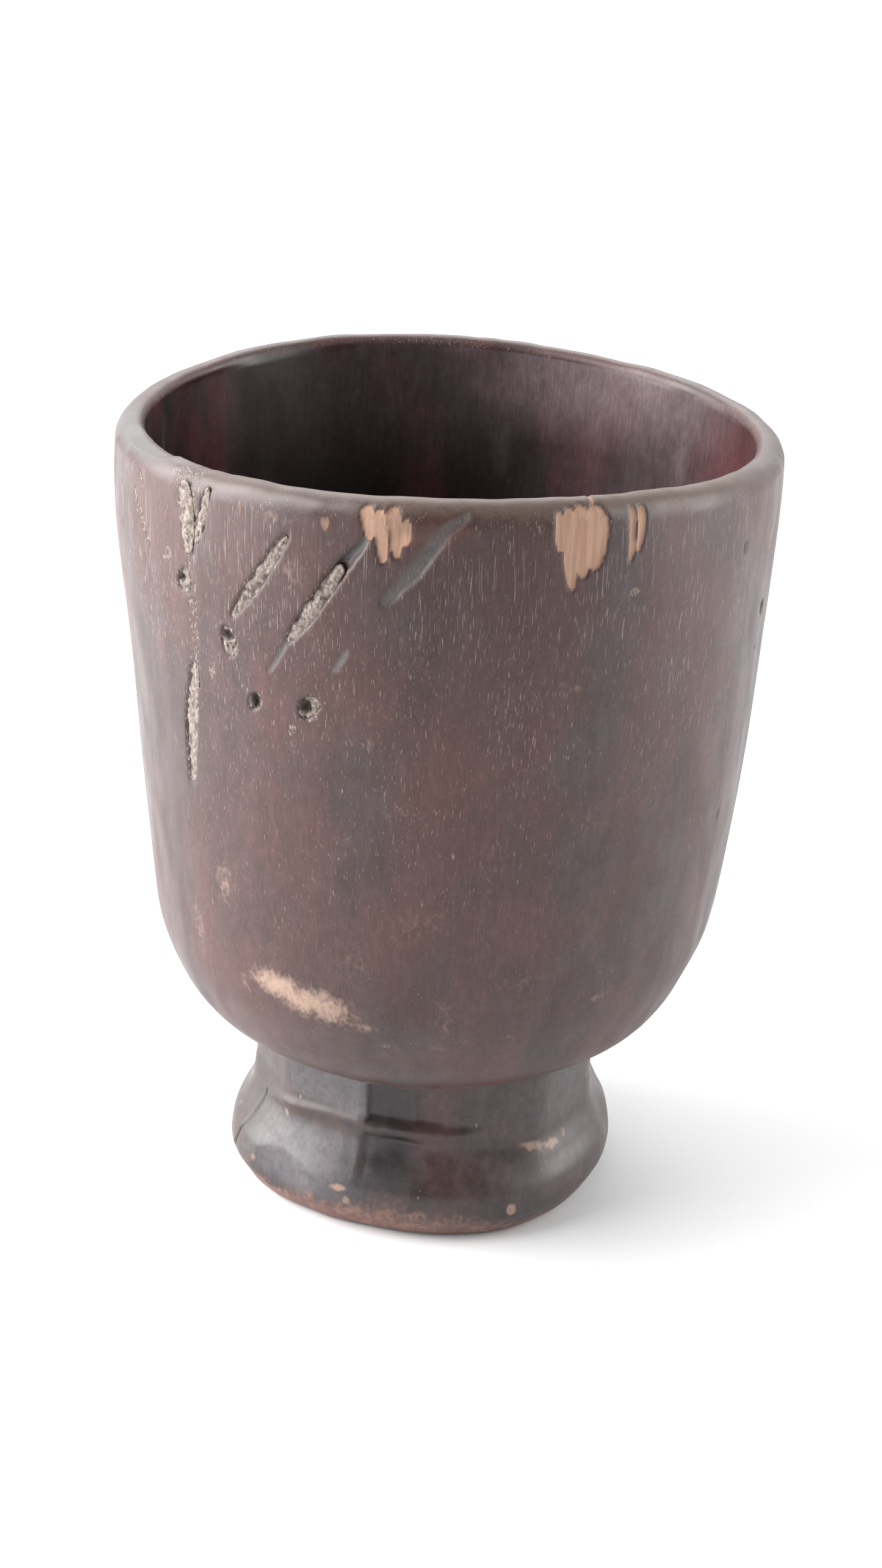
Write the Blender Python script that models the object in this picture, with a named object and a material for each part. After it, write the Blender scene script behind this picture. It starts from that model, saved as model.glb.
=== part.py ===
"""A footed drinking cup, carved by hand from wood, standing at the origin with +Z up.

The cup has a tall bowl with a rounded shoulder, on a short foot with a knife-cut neck. Slanted
grooves and small pits are cut into the bowl's skin below the rim, and an old crack runs down one
side. A pale filling sits in the crack, in three of the grooves and in the pits. The front of the
cup, with the carving, faces -Y. Angles go round +Z from +X, so -90 degrees is the front.
"""

import math

import bmesh
import bpy
from mathutils import Matrix, Vector

MM = 0.001

# Driving dimensions, in millimetres.
CUP_HEIGHT = 120.0
BOWL_BASE_HEIGHT = 29.5
RIM_START_HEIGHT = 117.0
RIM_CREST_RADIUS = 45.0
RIM_INNER_HEIGHT = 118.5
SHOULDER_EDGE_RADIUS = 33.0
FLOOR_HEIGHT = 36.5
JOINT_GAP = 0.3
FACES_ROUND = 60

# The bowl's skin, as (height, radius), from the shoulder's edge to where the rim starts to round.
BOWL_SKIN = (
    (29.5, 33.0),
    (33.0, 37.3),
    (37.0, 39.7),
    (46.0, 42.6),
    (60.0, 44.2),
    (90.0, 46.7),
    (112.0, 47.9),
    (117.0, 47.8),
)
SKIN_LEVELS = (29.9, 31.2, 33.2, 35.8, 39.0, 43.0, 48.0, 55.0, 64.0, 74.0, 84.0, 94.0, 103.0, 111.0, 117.0)

# The hollow, as (height, radius), from its floor to the rim's inner edge.
HOLLOW = ((36.5, 10.0), (37.6, 20.0), (41.0, 29.0), (47.0, 35.3), (58.0, 39.4), (90.0, 42.4), (118.5, 43.6))
HOLLOW_LEVELS = (118.5, 108.0, 96.0, 82.0, 68.0, 58.0, 50.0, 44.5, 40.5, 38.2)
RIM_ARC_STEPS = 6

# The foot, as (height, radius), and how much of its twelve knife facets shows at that height.
FOOT_SKIN = (
    (0.0, 26.8, 0.0),
    (0.7, 28.1, 0.0),
    (2.2, 29.1, 0.0),
    (4.5, 30.1, 0.0),
    (7.5, 29.8, 0.2),
    (11.0, 28.3, 0.5),
    (14.5, 27.1, 0.8),
    (17.4, 26.9, 1.0),
    (18.8, 26.7, 1.0),
    (23.5, 26.8, 1.0),
    (29.2, 27.0, 1.0),
)
FOOT_FACETS = 12
FACET_TURN = math.radians(-108.0)
FOOT_CORNERS = 0.6
FOOT_CORNER_TURN = math.radians(-155.0)
FOOT_SWING = 0.5
FOOT_SWING_TURN = math.radians(89.0)
FOOT_SHIFT_X = -0.65
FOOT_SHIFT_Y = 0.3

# The knife's step on the neck's front: the cut is deepest at its left end, above the neck's ridge.
NECK_STEP = 0.8
NECK_STEP_START = math.radians(-107.0)
NECK_STEP_WIDTH = math.radians(48.0)
NECK_STEP_HEIGHT = 18.0

# How far the bowl is from round: an oval, a three-sided swing, a lean to -X and a wavy rim.
OVAL = -0.5
OVAL_TURN = math.radians(-20.0)
SWING = 0.8
SWING_TURN = math.radians(141.0)
LEAN_X = -1.2
LEAN_Y = -0.5
RIM_WAVE = 1.2
WAVE_START_HEIGHT = 85.0

# Swells of the bowl's skin left by the knife: (angle, height, half angle, half height, amount).
SWELLS = (
    (-172.0, 108.0, 40.0, 16.0, 0.4),
    (-168.0, 84.0, 35.0, 12.0, -0.3),
    (-168.0, 40.0, 40.0, 8.0, 0.4),
    (-8.0, 106.0, 35.0, 14.0, -0.4),
    (-12.0, 67.0, 35.0, 14.0, 0.4),
    (-12.0, 37.0, 35.0, 6.0, -0.4),
)
# Rises and dips of the rim: (angle, half angle, amount).
RIM_LIFTS = ((-68.0, 32.0, 0.5), (-150.0, 25.0, 0.3), (118.0, 22.0, 0.4), (62.0, 18.0, -0.3))

# Cuts as (angle and height of the top end, angle and height of the low end, width, depth).
GROOVES = {
    "groove_far_left": (-152.4, 112.8, -145.6, 106.2, 1.4, 0.8),
    "groove_short": (-129.4, 118.9, -131.7, 111.0, 1.6, 1.2),
    "groove_left": (-113.9, 114.5, -124.5, 102.1, 1.9, 1.3),
    "groove_long": (-101.4, 115.2, -113.6, 101.0, 2.4, 1.5),
    "groove_right": (-86.6, 119.1, -98.6, 107.4, 1.9, 1.2),
}
PITS = {
    "pit_upper": (-135.2, 106.8, -135.6, 103.2, 2.7, 1.7),
    "pit_middle": (-124.8, 100.5, -125.6, 96.8, 2.6, 1.6),
    "pit_low_left": (-120.2, 92.6, -120.8, 89.8, 2.1, 1.4),
    "pit_low_right": (-109.2, 93.9, -111.8, 90.4, 3.0, 1.7),
}
CRACK = {
    "crack_upper": (-134.8, 118.5, -133.8, 108.8, 3.4, 1.3),
    "crack_lower": (-133.8, 97.0, -137.8, 75.0, 2.6, 1.5),
}
CHIPS = {
    "chip_stroke_1": (-101.4, 119.2, -100.7, 115.2, 1.6, 0.5),
    "chip_stroke_2": (-99.4, 119.0, -98.6, 112.6, 1.6, 0.6),
    "chip_stroke_3": (-97.5, 119.4, -96.8, 113.4, 1.8, 0.6),
    "chip_wide": (-71.2, 120.4, -70.0, 109.0, 5.6, 0.7),
    "chip_side": (-66.2, 120.2, -65.6, 111.6, 4.4, 0.6),
    "chip_narrow": (-58.5, 119.4, -59.2, 111.6, 2.6, 0.7),
}
FILLED = (
    "groove_short",
    "groove_left",
    "groove_long",
    "pit_upper",
    "pit_middle",
    "pit_low_left",
    "pit_low_right",
    "crack_upper",
    "crack_lower",
)

# Base colour (linear), roughness of each material.
BOWL_WOOD = ((0.095, 0.055, 0.045), 0.42)
FOOT_WOOD = ((0.060, 0.046, 0.044), 0.34)
PALE_FILLING = ((0.42, 0.33, 0.26), 0.85)


def smooth_between(table, at):
    """The second column of the table at this height, on a smooth curve that never overshoots."""
    heights = [row[0] for row in table]
    values = [row[1] for row in table]
    at = min(max(at, heights[0]), heights[-1])
    slopes = [
        (values[i + 1] - values[i]) / (heights[i + 1] - heights[i]) for i in range(len(table) - 1)
    ]
    tangents = [slopes[0]]
    for before, after in zip(slopes, slopes[1:]):
        product = before * after
        tangents.append(2 * product / (before + after) if product > 0 else 0.0)
    tangents.append(slopes[-1])
    i = max(k for k in range(len(table) - 1) if heights[k] <= at)
    span = heights[i + 1] - heights[i]
    t = (at - heights[i]) / span
    return (
        (2 * t**3 - 3 * t**2 + 1) * values[i]
        + (t**3 - 2 * t**2 + t) * span * tangents[i]
        + (3 * t**2 - 2 * t**3) * values[i + 1]
        + (t**3 - t**2) * span * tangents[i + 1]
    )


def turn_between(angle, middle_degrees):
    """Degrees from the middle to the angle, the short way round."""
    return (math.degrees(angle) - middle_degrees + 180.0) % 360.0 - 180.0


def bowl_point(angle, height, radius):
    """The point of the bowl at this angle, height and nominal radius, with the hand-carved unevenness."""
    share = height / CUP_HEIGHT
    uneven = (0.3 + 0.7 * share) * (
        OVAL * math.cos(2 * (angle - OVAL_TURN)) + SWING * math.cos(3 * (angle - SWING_TURN))
    )
    for middle, level, wide, high, amount in SWELLS:
        away = (turn_between(angle, middle) / wide) ** 2 + ((height - level) / high) ** 2
        uneven += amount * math.exp(-away)
    reach = radius + uneven * min(1.0, radius / SHOULDER_EDGE_RADIUS)
    rise = max(0.0, (height - WAVE_START_HEIGHT) / (CUP_HEIGHT - WAVE_START_HEIGHT))
    wave = -RIM_WAVE * math.cos(2 * angle) * rise**2
    for middle, wide, amount in RIM_LIFTS:
        wave += amount * math.exp(-((turn_between(angle, middle) / wide) ** 2)) * rise**2
    return Vector(
        (
            LEAN_X * share + reach * math.cos(angle),
            LEAN_Y * share + reach * math.sin(angle),
            height + wave,
        )
    )


def foot_point(angle, height, radius, facets):
    """The point of the foot at this angle, with rounded corners below and flat knife cuts above."""
    width = 2 * math.pi / FOOT_FACETS
    across = (angle - FACET_TURN) % width - width / 2
    flat = math.cos(width / 2) / math.cos(across)
    corner = FOOT_CORNERS * math.cos(4 * (angle - FOOT_CORNER_TURN)) * (1 - facets)
    swing = FOOT_SWING * math.cos(3 * (angle - FOOT_SWING_TURN))
    reach = radius * (1 - facets + facets * flat) + corner + swing
    past_start = (angle - NECK_STEP_START) / NECK_STEP_WIDTH
    if height > NECK_STEP_HEIGHT and 0.0 < past_start < 1.0:
        reach -= NECK_STEP * (1 - past_start)
    return Vector((FOOT_SHIFT_X + reach * math.cos(angle), FOOT_SHIFT_Y + reach * math.sin(angle), height))


def angles():
    """The angles of the faces' corners, starting on a corner between two of the foot's facets."""
    return [FACET_TURN + 2 * math.pi * i / FACES_ROUND for i in range(FACES_ROUND)]


def material(name, color, roughness):
    made = bpy.data.materials.new(name)
    made.use_nodes = True
    shader = made.node_tree.nodes["Principled BSDF"]
    shader.inputs["Base Color"].default_value = (*color, 1.0)
    shader.inputs["Roughness"].default_value = roughness
    shader.inputs["Metallic"].default_value = 0.0
    made.diffuse_color = (*color, 1.0)
    return made


def loft(name, rings, collection, looks=None):
    """One closed mesh through rings of points in millimetres, from the lowest or outer ring on."""
    shape = bmesh.new()
    rows = [[shape.verts.new(point * MM) for point in ring] for ring in rings]
    for lower, upper in zip(rows, rows[1:]):
        for i in range(len(lower)):
            j = (i + 1) % len(lower)
            shape.faces.new((lower[i], lower[j], upper[j], upper[i]))
    shape.faces.new(reversed(rows[0]))
    shape.faces.new(rows[-1])
    return add_object(name, shape, collection, looks)


def add_object(name, shape, collection, looks):
    mesh = bpy.data.meshes.new(name)
    shape.to_mesh(mesh)
    shape.free()
    mesh.shade_smooth()
    mesh.set_sharp_from_angle(angle=math.radians(35))
    if looks:
        mesh.materials.append(looks)
    made = bpy.data.objects.new(name, mesh)
    collection.objects.link(made)
    return made


def as_helper(helper):
    helper.hide_render = True
    helper.display_type = "WIRE"
    return helper


def ring(height, radius):
    return [bowl_point(angle, height, radius) for angle in angles()]


def skin_rings(inset):
    """The bowl's outer rings from its underside up to the rim, moved in by the inset."""
    rings = [ring(BOWL_BASE_HEIGHT, SHOULDER_EDGE_RADIUS - 1.2 - inset)]
    for height in SKIN_LEVELS:
        rings.append(ring(height, smooth_between(BOWL_SKIN, height) - inset))
    return rings


def rim_rings():
    """The top of the wall: a broad round outside the crest and a tight one inside it."""
    outside = (smooth_between(BOWL_SKIN, RIM_START_HEIGHT), RIM_START_HEIGHT)
    inside = (HOLLOW[-1][1], RIM_INNER_HEIGHT)
    rings = []
    for step in range(1, RIM_ARC_STEPS):
        turn = math.pi * step / RIM_ARC_STEPS
        edge, start = outside if turn < math.pi / 2 else inside
        radius = RIM_CREST_RADIUS + abs(math.cos(turn)) * (edge - RIM_CREST_RADIUS)
        rings.append(ring(start + math.sin(turn) * (CUP_HEIGHT - start), radius))
    return rings


def hollow_rings():
    rings = [ring(height, smooth_between(HOLLOW, height)) for height in HOLLOW_LEVELS]
    rings.append(ring(FLOOR_HEIGHT, HOLLOW[0][1]))
    return rings


def make_bowl(collection, looks):
    return loft("bowl", skin_rings(0.0) + rim_rings() + hollow_rings(), collection, looks)


def make_foot(collection, looks):
    rings = [
        [foot_point(angle, height, radius, facets) for angle in angles()]
        for height, radius, facets in FOOT_SKIN
    ]
    return loft("foot", rings, collection, looks)


def skin_place(angle_degrees, height):
    return bowl_point(math.radians(angle_degrees), height, smooth_between(BOWL_SKIN, height))


def spindle(name, cut, shrink, collection, looks=None):
    """A long round body centred on the skin, from the cut's top end to its low end."""
    top_angle, top_height, low_angle, low_height, width, depth = cut
    top = skin_place(top_angle, top_height)
    low = skin_place(low_angle, low_height)
    along = (top - low).normalized()
    middle = (top_angle + low_angle) / 2
    centre = skin_place(middle, (top_height + low_height) / 2)
    outward = Vector((math.cos(math.radians(middle)), math.sin(math.radians(middle)), 0.0))
    outward = (outward - along * outward.dot(along)).normalized()
    across = along.cross(outward)
    half = (width / 2 - shrink, depth - shrink, (top - low).length / 2 - shrink)
    shape = bmesh.new()
    bmesh.ops.create_uvsphere(shape, u_segments=12, v_segments=10, radius=1.0)
    turn = Matrix((across, outward, along)).transposed()
    for vert in shape.verts:
        local = Vector((vert.co.x * half[0], vert.co.y * half[1], vert.co.z * half[2]))
        vert.co = (centre + turn @ local) * MM
    if turn.determinant() < 0:
        bmesh.ops.reverse_faces(shape, faces=shape.faces)
    return add_object(name, shape, collection, looks)


def cut_from(target, cutter):
    boolean = target.modifiers.new(cutter.name, "BOOLEAN")
    boolean.operation = "DIFFERENCE"
    boolean.solver = "EXACT"
    boolean.object = cutter


def make_filling(name, cut, blank, collection, looks):
    """The pale filling of one cut: a smaller spindle, dressed flush with the bowl's skin."""
    filling = spindle(name, cut, JOINT_GAP, collection, looks)
    dress = filling.modifiers.new("dress_flush", "BOOLEAN")
    dress.operation = "INTERSECT"
    dress.solver = "EXACT"
    dress.object = blank
    return filling


def main():
    for old in list(bpy.data.objects):
        bpy.data.objects.remove(old)
    cup = bpy.data.collections.new("footed_wooden_cup")
    cutters = bpy.data.collections.new("cutters")
    bpy.context.scene.collection.children.link(cup)
    bpy.context.scene.collection.children.link(cutters)

    bowl = make_bowl(cup, material("bowl_wood", *BOWL_WOOD))
    make_foot(cup, material("foot_wood", *FOOT_WOOD))
    blank = as_helper(loft("bowl_blank", skin_rings(0.05) + rim_rings()[:1], cutters))
    cuts = {**GROOVES, **PITS, **CRACK, **CHIPS}
    for name, cut in cuts.items():
        cut_from(bowl, as_helper(spindle("cutter_" + name, cut, 0.0, cutters)))
    filling_looks = material("pale_filling", *PALE_FILLING)
    for name in FILLED:
        make_filling(name + "_filling", cuts[name], blank, cup, filling_looks)


main()
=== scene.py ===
"""The looks of the hand-carved footed wooden cup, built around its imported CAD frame.

Sizes below are in millimetres and angles in degrees, going round +Z from +X, so that -90 is the
front. A place on the cup's skin is an (angle, height) pair, and a spot on it is (angle, height,
half width, half height, strength), with the tilt of its width at the end if it has one. Lights and
the camera are placed in metres.
"""

import math

import bpy
import numpy as np
from mathutils import Matrix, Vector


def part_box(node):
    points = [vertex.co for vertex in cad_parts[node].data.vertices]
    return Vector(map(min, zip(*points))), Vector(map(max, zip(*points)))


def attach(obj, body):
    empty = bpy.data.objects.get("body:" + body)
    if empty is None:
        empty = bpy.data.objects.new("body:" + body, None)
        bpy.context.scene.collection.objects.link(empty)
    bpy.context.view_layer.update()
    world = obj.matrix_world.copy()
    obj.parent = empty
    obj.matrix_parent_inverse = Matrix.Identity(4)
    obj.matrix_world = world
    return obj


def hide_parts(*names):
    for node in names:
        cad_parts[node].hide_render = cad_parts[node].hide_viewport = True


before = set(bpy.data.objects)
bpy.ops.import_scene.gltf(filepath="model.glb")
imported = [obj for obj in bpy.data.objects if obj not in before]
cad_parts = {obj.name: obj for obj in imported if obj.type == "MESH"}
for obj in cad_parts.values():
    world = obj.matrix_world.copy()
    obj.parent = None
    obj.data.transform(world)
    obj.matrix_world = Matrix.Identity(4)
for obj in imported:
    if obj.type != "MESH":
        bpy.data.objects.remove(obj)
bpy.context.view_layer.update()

MM = 0.001
TOP = 1000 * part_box("foot")[1][2] + 90.8  # the cup's nominal height, above the foot
UNDER_BOWL = 1000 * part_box("bowl")[0][2]
RIM_START = TOP - 3.0

# The bowl's skin and its hollow, as (height, radius).
SKIN = ((29.5, 33.0), (33.0, 37.3), (37.0, 39.7), (46.0, 42.6), (60.0, 44.2), (90.0, 46.7), (112.0, 47.9),
        (117.0, 47.8))
HOLLOW = ((36.5, 10.0), (37.6, 20.0), (41.0, 29.0), (47.0, 35.3), (58.0, 39.4), (90.0, 42.4), (118.5, 43.6))
RIM_CREST_RADIUS = 45.0
RIM_INNER_HEIGHT = 118.5
MEAN_RADIUS = 46.5

# How far the bowl is from round, as in the CAD.
OVAL, OVAL_TURN = -0.5, math.radians(-20.0)
SWING, SWING_TURN = 0.8, math.radians(141.0)
LEAN_X, LEAN_Y = -1.2, -0.5
RIM_WAVE, WAVE_START = 1.2, 85.0
# Swells of the skin: (angle, height, half angle, half height, amount).
SWELLS = (
    (-172.0, 108.0, 40.0, 16.0, 0.4), (-168.0, 84.0, 35.0, 12.0, -0.3), (-168.0, 40.0, 40.0, 8.0, 0.4),
    (-8.0, 106.0, 35.0, 14.0, -0.4), (-12.0, 67.0, 35.0, 14.0, 0.4), (-12.0, 37.0, 35.0, 6.0, -0.4),
)
# Rises and dips of the rim: (angle, half angle, amount).
RIM_LIFTS = ((-68.0, 32.0, 0.5), (-150.0, 25.0, 0.3), (118.0, 22.0, 0.4), (62.0, 18.0, -0.3))

# Columns of the bowl's mesh: (from angle, to angle, degrees a column). The carved side is the finest.
COLUMN_BANDS = ((-180.0, -160.0, 0.8), (-160.0, -50.0, 0.38), (-50.0, -8.0, 0.8), (-8.0, 180.0, 1.7))

# Carved grooves: path, width and depth.
GROOVES = {
    "groove_far_left": (((-152.3, 114.4), (-149.0, 110.9), (-145.6, 107.0)), 1.5, 0.4),
    "groove_far_left_top": (((-149.8, 117.0), (-148.0, 114.9)), 1.1, 0.3),
    "groove_short": (((-129.0, 118.5), (-131.9, 110.7)), 1.5, 0.7),
    "groove_left": (((-113.6, 114.8), (-119.3, 107.9), (-124.4, 102.3)), 1.9, 1.0),
    "groove_long": (((-101.2, 115.5), (-105.1, 111.6), (-109.2, 106.3), (-113.8, 100.8)), 2.2, 1.1),
    "groove_long_tail": (((-113.4, 101.3), (-117.6, 95.8)), 0.8, 0.22),
    "groove_right": (((-86.4, 118.8), (-90.2, 116.4), (-93.2, 112.7), (-98.8, 107.2)), 2.2, 0.55),
    "groove_right_tail": (((-103.9, 101.0), (-106.5, 97.6)), 1.1, 0.2),
    "scratch_low": (((-124.6, 93.7), (-121.6, 92.3)), 0.6, 0.2),
}
# Pale fillings: the groove, the stretch of its path that is filled, and how far the filling is sunk.
FILLINGS = {
    "groove_short_filling": (GROOVES["groove_short"], 0.0, 1.0, 0.03),
    "groove_left_filling": (GROOVES["groove_left"], 0.02, 1.0, 0.10),
    "groove_long_filling": (GROOVES["groove_long"], 0.26, 1.0, 0.10),
}

# Pits: (angle, height), (width, height), tilt of the long axis, depth, and the dark hole in the
# filling as (x, y, half width, half height) from the pit's middle.
PITS = {
    "pit_upper": ((-135.3, 104.9), (2.8, 3.4), 5, 1.1, (-0.95, 0.35, 0.75, 0.45)),
    "pit_middle": ((-125.2, 98.8), (2.7, 4.4), 8, 1.2, (-0.15, 0.65, 0.85, 0.50)),
    "pit_low_left": ((-120.5, 91.2), (1.9, 3.2), -28, 1.0, (0.05, 0.10, 0.50, 1.0)),
    "pit_low_right": ((-110.5, 92.2), (2.7, 3.8), -30, 1.2, (-0.30, 0.15, 0.55, 0.75)),
}

# The old crack: a weathered upper band that narrows downwards, a faint streak, and a split below it.
CRACK_UPPER = (((-135.4, 120.2), (-133.7, 112.8), (-133.4, 108.3)), (6.4, 2.4), 0.32)
CRACK_STREAK = (((-133.4, 108.4), (-133.2, 100.0), (-134.2, 92.0)), (2.6, 2.6), 0.08)
CRACK_LOWER = (((-134.2, 93.6), (-135.4, 89.0), (-136.6, 84.0), (-137.1, 78.6), (-137.8, 74.6)), 3.0, 0.8)
CRACK_FILLINGS = {
    "crack_upper_filling": ((((-134.8, 118.5), (-134.3, 113.5), (-133.8, 108.9)), 3.0, 0.5), 0.0, 1.0, 0.04),
    "crack_lower_filling": (CRACK_LOWER, 0.0, 1.0, 0.22),
}
CRACK_SLITS = (
    (((-133.2, 92.6), (-133.4, 90.2)), 0.50, 0.9),
    (((-135.6, 84.4), (-136.0, 80.0)), 1.0, 1.1),
    (((-137.9, 84.4), (-138.0, 80.8)), 0.45, 0.8),
)

# Gouged chips that bare pale wood: path down the middle, width at the top and at the low end, depth.
CHIPS = (
    (((-101.6, 119.3), (-101.0, 117.2), (-100.8, 115.2)), (2.3, 1.3), 0.22),
    (((-99.6, 118.9), (-99.0, 115.6), (-98.7, 112.6)), (2.1, 1.4), 0.26),
    (((-97.7, 119.4), (-96.9, 116.4), (-96.8, 113.4)), (2.3, 1.6), 0.26),
    (((-95.7, 118.0), (-95.4, 116.6), (-95.5, 114.8)), (1.5, 1.0), 0.15),
    (((-72.7, 119.0), (-72.6, 116.0), (-72.3, 114.0)), (1.7, 1.3), 0.21),
    (((-71.0, 119.3), (-70.7, 113.0), (-70.1, 109.2)), (2.8, 1.7), 0.26),
    (((-69.0, 119.5), (-68.8, 115.0), (-68.4, 110.7)), (3.2, 2.2), 0.29),
    (((-66.7, 119.4), (-66.5, 115.0), (-66.8, 111.6)), (3.4, 2.6), 0.29),
    (((-65.4, 118.5), (-65.2, 113.4)), (1.9, 1.3), 0.22),
    (((-59.9, 119.0), (-60.0, 112.2)), (1.4, 1.0), 0.28),
    (((-58.2, 119.1), (-58.3, 115.4), (-58.8, 113.2)), (1.8, 1.0), 0.24),
    (((-66.6, 120.3), (-66.7, 118.9)), (0.6, 0.5), 0.31),
)
# Spots where the skin is rubbed thin.
BARE_SPOTS = (
    (-107.5, 116.8, 0.9, 1.0, 0.62), (-107.0, 114.4, 0.5, 0.5, 0.5), (-122.3, 116.8, 0.4, 1.7, 0.46),
    (-97.3, 111.2, 0.3, 0.8, 0.5),
)
# Soft rubs that show lighter wood through the skin.
RUBS = (
    (-118.6, 47.7, 5.2, 2.4, 1.0, -4), (-109.4, 46.4, 4.6, 2.8, 0.9, -10), (-113.8, 46.5, 4.0, 2.5, 1.0),
    (-105.8, 45.4, 4.2, 2.2, 0.40, -20), (-102.4, 44.2, 3.2, 0.5, 0.62, -8),
    (-113.0, 110.0, 2.2, 1.6, 0.30), (-130.5, 61.5, 2.2, 3.6, 0.42), (-68.0, 96.0, 1.0, 0.8, 0.34),
    (-58.7, 108.3, 1.6, 0.45, 0.52, 12), (-139.5, 52.0, 1.4, 6.0, 0.36),
    (-86.0, 41.4, 3.4, 0.35, 0.46, 4), (-77.0, 42.6, 3.4, 0.3, 0.40, 8),
    (-56.0, 47.0, 2.0, 0.6, 0.50, 15), (-98.0, 41.2, 1.6, 0.35, 0.46), (-92.0, 62.0, 5.0, 2.4, 0.22, 10),
    (-80.0, 70.0, 1.4, 4.0, 0.20), (-103.0, 55.0, 3.0, 5.0, 0.18), (-62.0, 76.0, 4.0, 2.2, 0.18),
    (-87.0, 46.0, 1.2, 5.0, 0.26, 12), (-127.0, 46.0, 1.2, 2.0, 0.34), (-74.0, 52.0, 5.0, 2.0, 0.16),
    (-116.0, 116.6, 3.4, 1.2, 0.30), (-93.0, 100.5, 1.2, 3.0, 0.16, 14),
    (-101.5, 88.6, 2.6, 1.0, 0.30, 8), (-96.0, 79.0, 2.4, 1.2, 0.22),
)
# Small pale deposits on the skin.
PALE_SPOTS = (
    (-139.3, 108.0, 0.55, 1.0, 0.9), (-140.6, 107.0, 0.4, 0.6, 0.9), (-129.6, 93.3, 0.55, 1.2, 0.9),
    (-113.4, 88.6, 0.45, 0.7, 0.9), (-106.0, 87.6, 0.3, 0.35, 0.9), (-142.5, 95.5, 0.3, 0.45, 0.9),
    (-58.9, 108.2, 0.8, 0.5, 0.9),
)
# Redder spots of the wood.
RED_SPOTS = (
    (-98.0, 95.0, 7.0, 9.0, 0.55), (-88.0, 84.0, 7.0, 9.0, 0.45), (-118.0, 90.0, 6.0, 10.0, 0.45),
    (-91.5, 117.0, 6.0, 2.6, 1.0), (-128.0, 66.0, 5.0, 9.0, 0.35), (-100.0, 62.0, 9.0, 9.0, 0.40),
    (-70.0, 60.0, 8.0, 8.0, 0.25), (-144.0, 93.0, 2.0, 4.0, 0.9), (-50.0, 45.0, 6.0, 5.0, 0.40),
    (-148.0, 58.0, 14.0, 34.0, 0.20), (-124.0, 68.0, 12.0, 32.0, 0.45), (-83.0, 74.0, 6.0, 5.0, 0.4),
    (-108.0, 73.0, 6.0, 7.0, 0.35), (-92.0, 38.0, 10.0, 3.0, 0.35),
)
# Dark knots and nicks on the right side: (angle, height, half width, half height).
DARK_NICKS = (
    (-15.5, 98.0, 0.7, 1.3), (-16.6, 92.3, 0.35, 0.7), (-25.5, 69.0, 0.3, 0.8), (-30.0, 110.0, 0.3, 1.2),
)
# Painted sheen in the hollow: grey-mauve spots and streaks where the inner wall catches the light.
HOLLOW_SHEEN_SPOTS = (
    (58.0, 117.0, 24.0, 9.0, 1.0), (36.5, 109.0, 2.2, 6.5, 0.7), (79.0, 106.0, 1.8, 6.0, 0.35),
    (40.0, 96.0, 22.0, 16.0, 0.35), (100.0, 114.0, 26.0, 12.0, 0.30),
)

# The foot, as (height, radius), and its knife facets.
FOOT_SKIN = ((0.0, 26.8), (0.7, 28.1), (2.2, 29.1), (4.5, 30.1), (7.5, 29.8), (11.0, 28.3), (14.5, 27.1),
             (17.4, 26.9), (18.8, 26.7), (23.5, 26.8), (29.2, 27.0))
FACETS_SHOWN = ((4.5, 0.0), (7.5, 0.2), (11.0, 0.5), (14.5, 0.8), (17.4, 1.0))
FOOT_FACETS, FACET_TURN = 12, math.radians(-108.0)
FOOT_CORNERS, FOOT_CORNER_TURN = 0.6, math.radians(-155.0)
FOOT_SWING, FOOT_SWING_TURN = 0.5, math.radians(89.0)
FOOT_SHIFT = (-0.65, 0.3)
FOOT_RADIUS = 29.0
# Steps that knife cuts leave in the neck: (depth, start, width, softness, low and high end of its rise).
NECK_STEPS = ((0.8, -108.0, 48.0, 0.006, 0.2, 1.4), (0.25, -91.5, 20.0, 0.02, 0.4, 2.0))
# The long facet left of the scoop: its middle, half its width, radius at a height, and flare.
LONG_FACET, LONG_FACET_HALF, LONG_FACET_RADIUS, LONG_FACET_HEIGHT = -130.0, 34.0, 29.6, 4.5
LONG_FACET_FLARE = 0.11
# The ridge at which the neck's cuts end, as (angle, height).
NECK_RIDGE = ((-152.0, 15.6), (-143.0, 16.3), (-122.0, 17.6), (-111.0, 17.9), (-92.0, 17.1), (-80.0, 16.6))
# Rubbed and chipped spots of the foot.
FOOT_SPOTS = (
    (-114.5, 7.3, 2.0, 0.8, 0.75, 10), (-111.5, 5.6, 1.0, 1.2, 0.65), (-62.6, 5.3, 0.85, 1.1, 0.95),
    (-51.5, 13.2, 3.2, 0.9, 0.72, -10), (-44.5, 12.5, 2.2, 1.1, 0.8, -14),
    (-37.5, 12.9, 0.8, 0.7, 0.6, -50), (-71.5, 18.0, 0.35, 0.45, 0.75), (-133.8, 18.5, 0.35, 0.55, 0.7),
    (-138.8, 14.9, 0.5, 0.9, 0.75, 20), (-166.0, 9.7, 0.8, 0.8, 0.6), (-171.0, 13.5, 0.8, 0.7, 0.6),
    (-147.0, 6.0, 0.6, 0.9, 0.55), (-98.0, 4.6, 0.3, 0.3, 0.7), (-90.0, 7.8, 0.25, 0.3, 0.6),
)


# ---- numbers on arrays


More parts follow.
